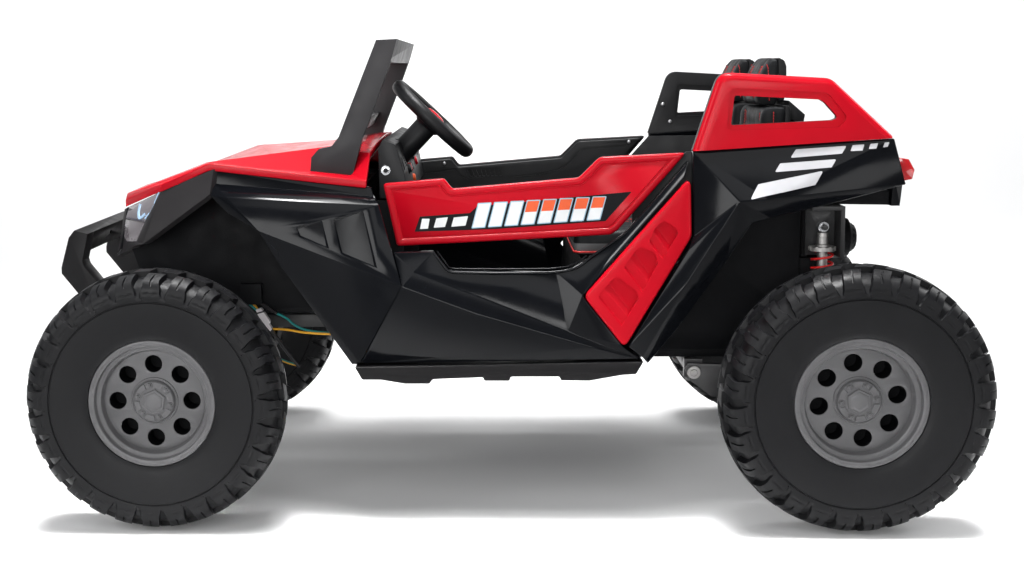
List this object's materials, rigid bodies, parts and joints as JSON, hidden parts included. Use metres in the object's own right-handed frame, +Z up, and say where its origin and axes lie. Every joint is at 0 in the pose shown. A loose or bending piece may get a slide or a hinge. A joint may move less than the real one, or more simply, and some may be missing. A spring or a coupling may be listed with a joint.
{
  "type": "ride-on toy buggy",
  "caption": "Two-seat battery ride-on buggy for children: red and black panelled body, big treaded wheels, steering linkage, hinged doors and rear spring shocks.",
  "frame": {"origin": "middle of the wheels' footprint on the ground, at the middle of the overall length", "axes": "+Z up, -Y towards the nose, +X towards the vehicle's left side"},
  "size_m": [0.852, 1.4492, 0.738],
  "materials": {
    "red_gloss": "glossy injection-moulded red",
    "black_gloss": "glossy black",
    "black_matt": "matt black, lightly grained",
    "fascia_grey": "matt dark grey, lightly grained",
    "tyre_rubber": "matt black foam rubber",
    "rim_grey": "satin grey plastic",
    "frame_steel": "black powder coat",
    "bare_steel": "zinc plated",
    "seat_leather": "black leatherette with red stitching",
    "battery_case": "plain battery case",
    "lamp_lens": "clear lens",
    "lamp_silver": "silvered reflector",
    "red_lens": "red lens",
    "wire_plastic": "amber and teal insulation, white plugs"
  },
  "bodies": {
    "chassis": {"battery": "battery_case", "bull_bar": "fascia_grey", "cargo_bed": "black_matt", "dashboard": "black_gloss", "floor_tub": "black_matt", "fog_lamps": "lamp_silver", "front_axle": "frame_steel", "front_fascia": "fascia_grey", "front_fenders": "black_gloss", "front_frame": "frame_steel", "front_grille": "black_matt", "front_liner": "black_matt", "front_wiring": "wire_plastic", "gearboxes": "black_matt", "headlights": "lamp_lens", "hood": "red_gloss", "pedal": "black_matt", "rear_axle": "bare_steel", "rear_bulkhead": "black_matt", "rear_caps": "black_matt", "rear_quarters": "black_gloss", "rear_wheel_wells": "black_matt", "seat_back_left": "seat_leather", "seat_back_right": "seat_leather", "seat_base": "black_matt", "seat_cushion_left": "seat_leather", "seat_cushion_right": "seat_leather", "shocks": "bare_steel", "side_panels": "black_gloss", "side_steps": "fascia_grey", "side_vents": "red_gloss", "sport_bars": "red_gloss", "steel_brackets": "frame_steel", "swing_arm": "frame_steel", "tail_lamps": "red_lens", "tail_panel": "black_gloss", "windshield_frame": "black_matt"},
    "steering": {"steering_wheel": "black_matt", "steering_column": "black_matt"},
    "knuckle_left": {"knuckle_left": "bare_steel"},
    "knuckle_right": {"knuckle_right": "bare_steel"},
    "tie_rod": {"tie_rod": "bare_steel"},
    "wheel_front_left": {"tyre_front_left": "tyre_rubber", "rim_front_left": "rim_grey"},
    "wheel_front_right": {"tyre_front_right": "tyre_rubber", "rim_front_right": "rim_grey"},
    "wheel_rear_left": {"tyre_rear_left": "tyre_rubber", "rim_rear_left": "rim_grey"},
    "wheel_rear_right": {"tyre_rear_right": "tyre_rubber", "rim_rear_right": "rim_grey"},
    "door_left": {"door_left": "red_gloss", "door_trim_left": "black_matt"},
    "door_right": {"door_right": "red_gloss", "door_trim_right": "black_matt"}
  },
  "joints": [
    {"name": "steering_turn", "type": "hinge", "parent": "chassis", "child": "steering", "pos_m": [0.13, -0.10215, 0.611], "axis": [0, 0.693, 0.721], "range_deg": [-35, 35]},
    {"name": "steer_left", "type": "hinge", "parent": "chassis", "child": "knuckle_left", "pos_m": [0.29, -0.51945, 0.2], "axis": [0, 0, 1], "range_deg": [-20.5, 20.5]},
    {"name": "steer_right", "type": "hinge", "parent": "chassis", "child": "knuckle_right", "pos_m": [-0.29, -0.51945, 0.2], "axis": [0, 0, 1], "range_deg": [-20.5, 20.5]},
    {"name": "tie_rod_pivot", "type": "hinge", "parent": "knuckle_left", "child": "tie_rod", "pos_m": [0.29, -0.46445, 0.2127], "axis": [0, 0, 1], "range_deg": [-20.5, 20.5]},
    {"name": "front_left_spin", "type": "hinge", "parent": "knuckle_left", "child": "wheel_front_left", "pos_m": [0.372, -0.51945, 0.2], "axis": [1, 0, 0], "continuous": true},
    {"name": "front_right_spin", "type": "hinge", "parent": "knuckle_right", "child": "wheel_front_right", "pos_m": [-0.372, -0.51945, 0.2], "axis": [1, 0, 0], "continuous": true},
    {"name": "rear_left_spin", "type": "hinge", "parent": "chassis", "child": "wheel_rear_left", "pos_m": [0.372, 0.52715, 0.2], "axis": [1, 0, 0], "continuous": true},
    {"name": "rear_right_spin", "type": "hinge", "parent": "chassis", "child": "wheel_rear_right", "pos_m": [-0.372, 0.52715, 0.2], "axis": [1, 0, 0], "continuous": true},
    {"name": "door_left_swing", "type": "hinge", "parent": "chassis", "child": "door_left", "pos_m": [0.292, -0.17415, 0.47], "axis": [0, 0, -1], "range_deg": [0, 60]},
    {"name": "door_right_swing", "type": "hinge", "parent": "chassis", "child": "door_right", "pos_m": [-0.292, -0.17415, 0.47], "axis": [0, 0, 1], "range_deg": [0, 60]}
  ],
  "couplings": [
    {"joint": "steer_left", "follows": "steering_turn", "ratio": 0.57143},
    {"joint": "steer_right", "follows": "steering_turn", "ratio": 0.57143},
    {"joint": "tie_rod_pivot", "follows": "steering_turn", "ratio": -0.57143}
  ]
}
